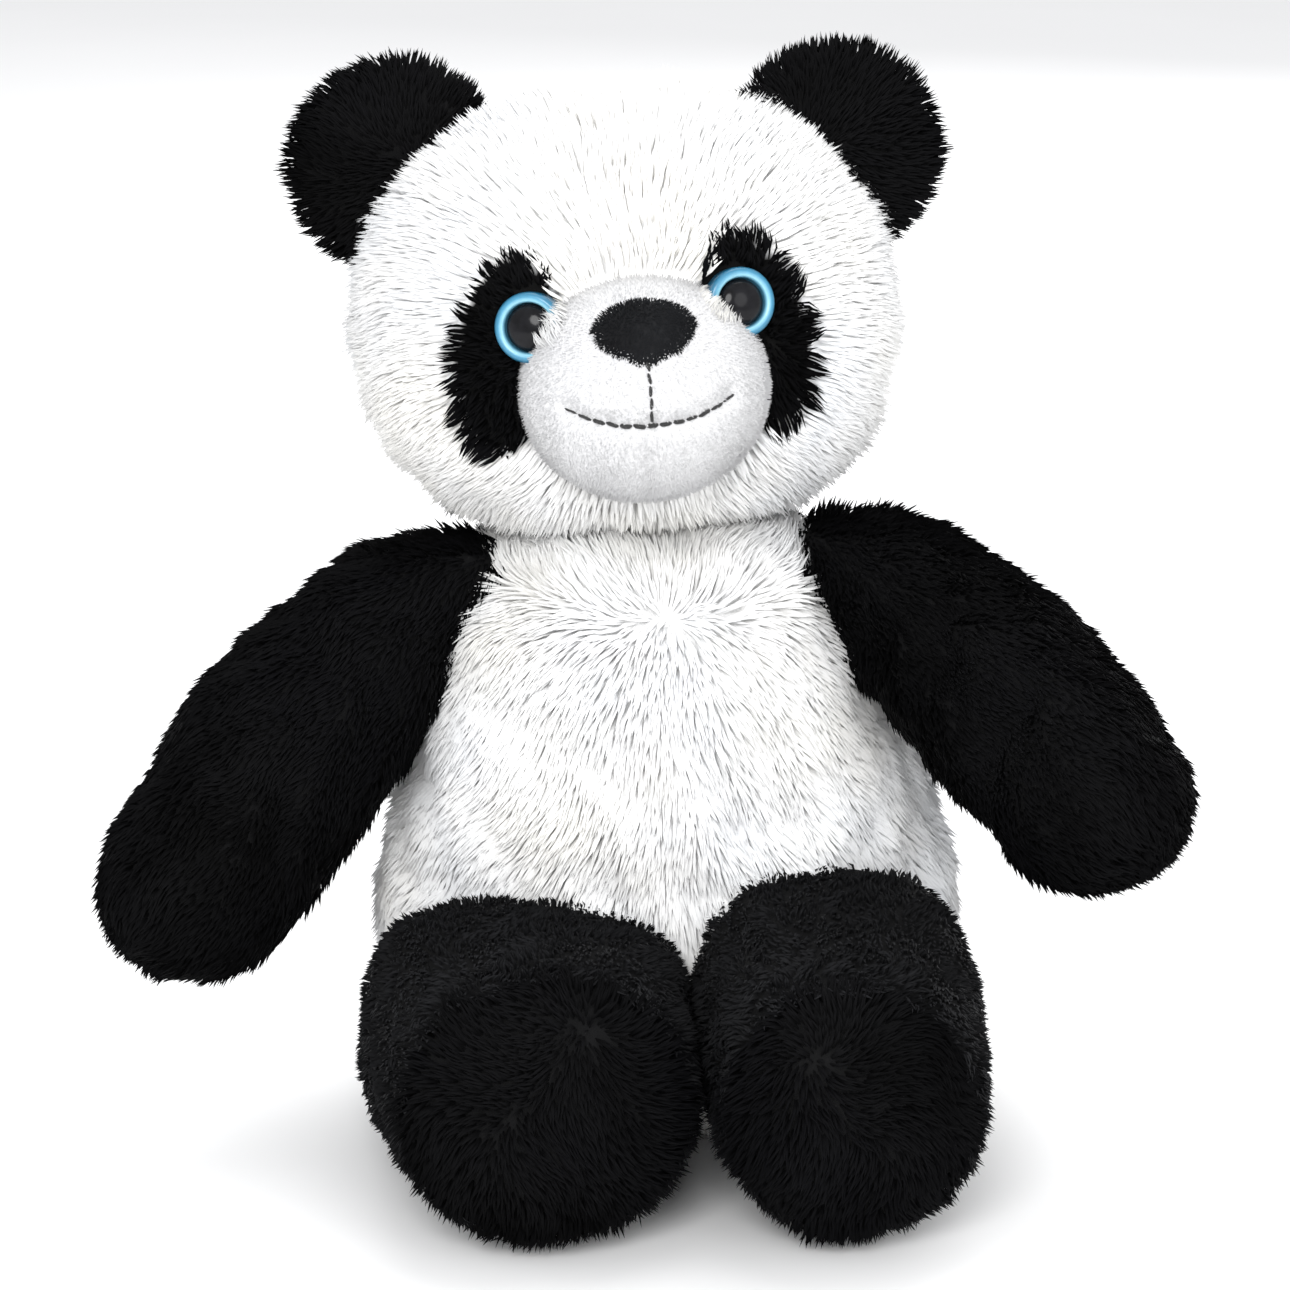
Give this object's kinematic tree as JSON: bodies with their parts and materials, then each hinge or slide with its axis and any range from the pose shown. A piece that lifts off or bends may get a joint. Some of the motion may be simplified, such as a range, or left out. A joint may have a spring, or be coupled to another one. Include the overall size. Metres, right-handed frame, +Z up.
{
  "type": "plush panda",
  "caption": "Sitting plush panda: long-pile covers over stuffing, short-pile muzzle, plastic safety eyes, and a head, ears, arms and legs that bend at their seams.",
  "frame": {"origin": "centre of the flat underside of the seat", "axes": "+Z up; the toy faces -Y, so its own left side is +X"},
  "size_m": [0.2775, 0.2006, 0.2753],
  "materials": {
    "white_plush": "long pile plush",
    "black_plush": "long pile plush",
    "short_white_plush": "short pile plush",
    "nose_cloth": "short pile plush",
    "thread_black": "twisted thread",
    "thread_white": "twisted thread",
    "iris_blue": "pearl",
    "pupil_black": "high gloss",
    "washer_plastic": "matte",
    "stuffing": "loose fibre",
    "label_cloth": "woven tape"
  },
  "bodies": {
    "body": {"belly_cover_left": "white_plush", "belly_cover_right": "white_plush", "back_cover_left": "white_plush", "back_cover_right": "white_plush", "seat_cover": "white_plush", "body_stuffing": "stuffing", "closing_stitches": "thread_white", "care_label": "label_cloth"},
    "neck": {"neck_seam": "thread_white"},
    "head": {"face_cover": "white_plush", "head_back_cover_left": "white_plush", "head_back_cover_right": "white_plush", "head_stuffing": "stuffing", "muzzle_cover_left": "short_white_plush", "muzzle_cover_right": "short_white_plush", "muzzle_stuffing": "stuffing", "nose_pad": "nose_cloth", "smile_stitch": "thread_black", "lip_stitch": "thread_black", "eye_patch_left": "black_plush", "eye_patch_right": "black_plush", "eye_ring_left": "iris_blue", "eye_ring_right": "iris_blue", "eye_dome_left": "pupil_black", "eye_dome_right": "pupil_black", "eye_washer_left": "washer_plastic", "eye_washer_right": "washer_plastic"},
    "ear_left": {"ear_front_left": "black_plush", "ear_back_left": "black_plush"},
    "ear_right": {"ear_front_right": "black_plush", "ear_back_right": "black_plush"},
    "shoulder_left": {"shoulder_seam_left": "thread_black"},
    "shoulder_right": {"shoulder_seam_right": "thread_black"},
    "arm_left": {"arm_front_cover_left": "black_plush", "arm_back_cover_left": "black_plush", "arm_stuffing_left": "stuffing"},
    "arm_right": {"arm_front_cover_right": "black_plush", "arm_back_cover_right": "black_plush", "arm_stuffing_right": "stuffing"},
    "hip_left": {"hip_seam_left": "thread_black"},
    "hip_right": {"hip_seam_right": "thread_black"},
    "leg_left": {"leg_outer_cover_left": "black_plush", "leg_inner_cover_left": "black_plush", "foot_sole_left": "black_plush", "leg_stuffing_left": "stuffing"},
    "leg_right": {"leg_outer_cover_right": "black_plush", "leg_inner_cover_right": "black_plush", "foot_sole_right": "black_plush", "leg_stuffing_right": "stuffing"}
  },
  "joints": [
    {"name": "head_turn", "type": "hinge", "parent": "body", "child": "neck", "pos_m": [-0.004, 0.02, 0.143], "axis": [0, 0, 1], "range_deg": [-25, 25], "stiffness_Nm_per_rad": 1},
    {"name": "head_nod", "type": "hinge", "parent": "neck", "child": "head", "pos_m": [-0.004, 0.02, 0.143], "axis": [1, 0, 0], "range_deg": [-8, 8], "stiffness_Nm_per_rad": 3},
    {"name": "ear_fold_left", "type": "hinge", "parent": "head", "child": "ear_left", "pos_m": [0.03865, 0.02441, 0.24266], "axis": [0.7028, -0.1374, -0.698], "range_deg": [-15, 15], "stiffness_Nm_per_rad": 0.1},
    {"name": "ear_fold_right", "type": "hinge", "parent": "head", "child": "ear_right", "pos_m": [-0.06274, 0.01847, 0.24014], "axis": [0.5767, 0.2262, 0.785], "range_deg": [-15, 15], "stiffness_Nm_per_rad": 0.1},
    {"name": "arm_swing_left", "type": "hinge", "parent": "body", "child": "shoulder_left", "pos_m": [0.055, 0.01, 0.134], "axis": [1, 0, 0], "range_deg": [-40, 8], "stiffness_Nm_per_rad": 0.6},
    {"name": "arm_lift_left", "type": "hinge", "parent": "shoulder_left", "child": "arm_left", "pos_m": [0.055, 0.01, 0.134], "axis": [0, -1, 0], "range_deg": [0, 35], "stiffness_Nm_per_rad": 0.6},
    {"name": "arm_swing_right", "type": "hinge", "parent": "body", "child": "shoulder_right", "pos_m": [-0.061, 0.012, 0.128], "axis": [1, 0, 0], "range_deg": [-40, 8], "stiffness_Nm_per_rad": 0.6},
    {"name": "arm_lift_right", "type": "hinge", "parent": "shoulder_right", "child": "arm_right", "pos_m": [-0.061, 0.012, 0.128], "axis": [0, 1, 0], "range_deg": [0, 35], "stiffness_Nm_per_rad": 0.6},
    {"name": "leg_lift_left", "type": "hinge", "parent": "body", "child": "hip_left", "pos_m": [0.0425, -0.045, 0.041], "axis": [-1, 0, 0], "range_deg": [-5, 15], "stiffness_Nm_per_rad": 1},
    {"name": "leg_spread_left", "type": "hinge", "parent": "hip_left", "child": "leg_left", "pos_m": [0.0425, -0.045, 0.041], "axis": [0, 0, 1], "range_deg": [0, 10], "stiffness_Nm_per_rad": 1},
    {"name": "leg_lift_right", "type": "hinge", "parent": "body", "child": "hip_right", "pos_m": [-0.0357, -0.045, 0.0336], "axis": [-1, 0, 0], "range_deg": [-5, 15], "stiffness_Nm_per_rad": 1},
    {"name": "leg_spread_right", "type": "hinge", "parent": "hip_right", "child": "leg_right", "pos_m": [-0.0357, -0.045, 0.0336], "axis": [0, 0, -1], "range_deg": [0, 10], "stiffness_Nm_per_rad": 1}
  ]
}
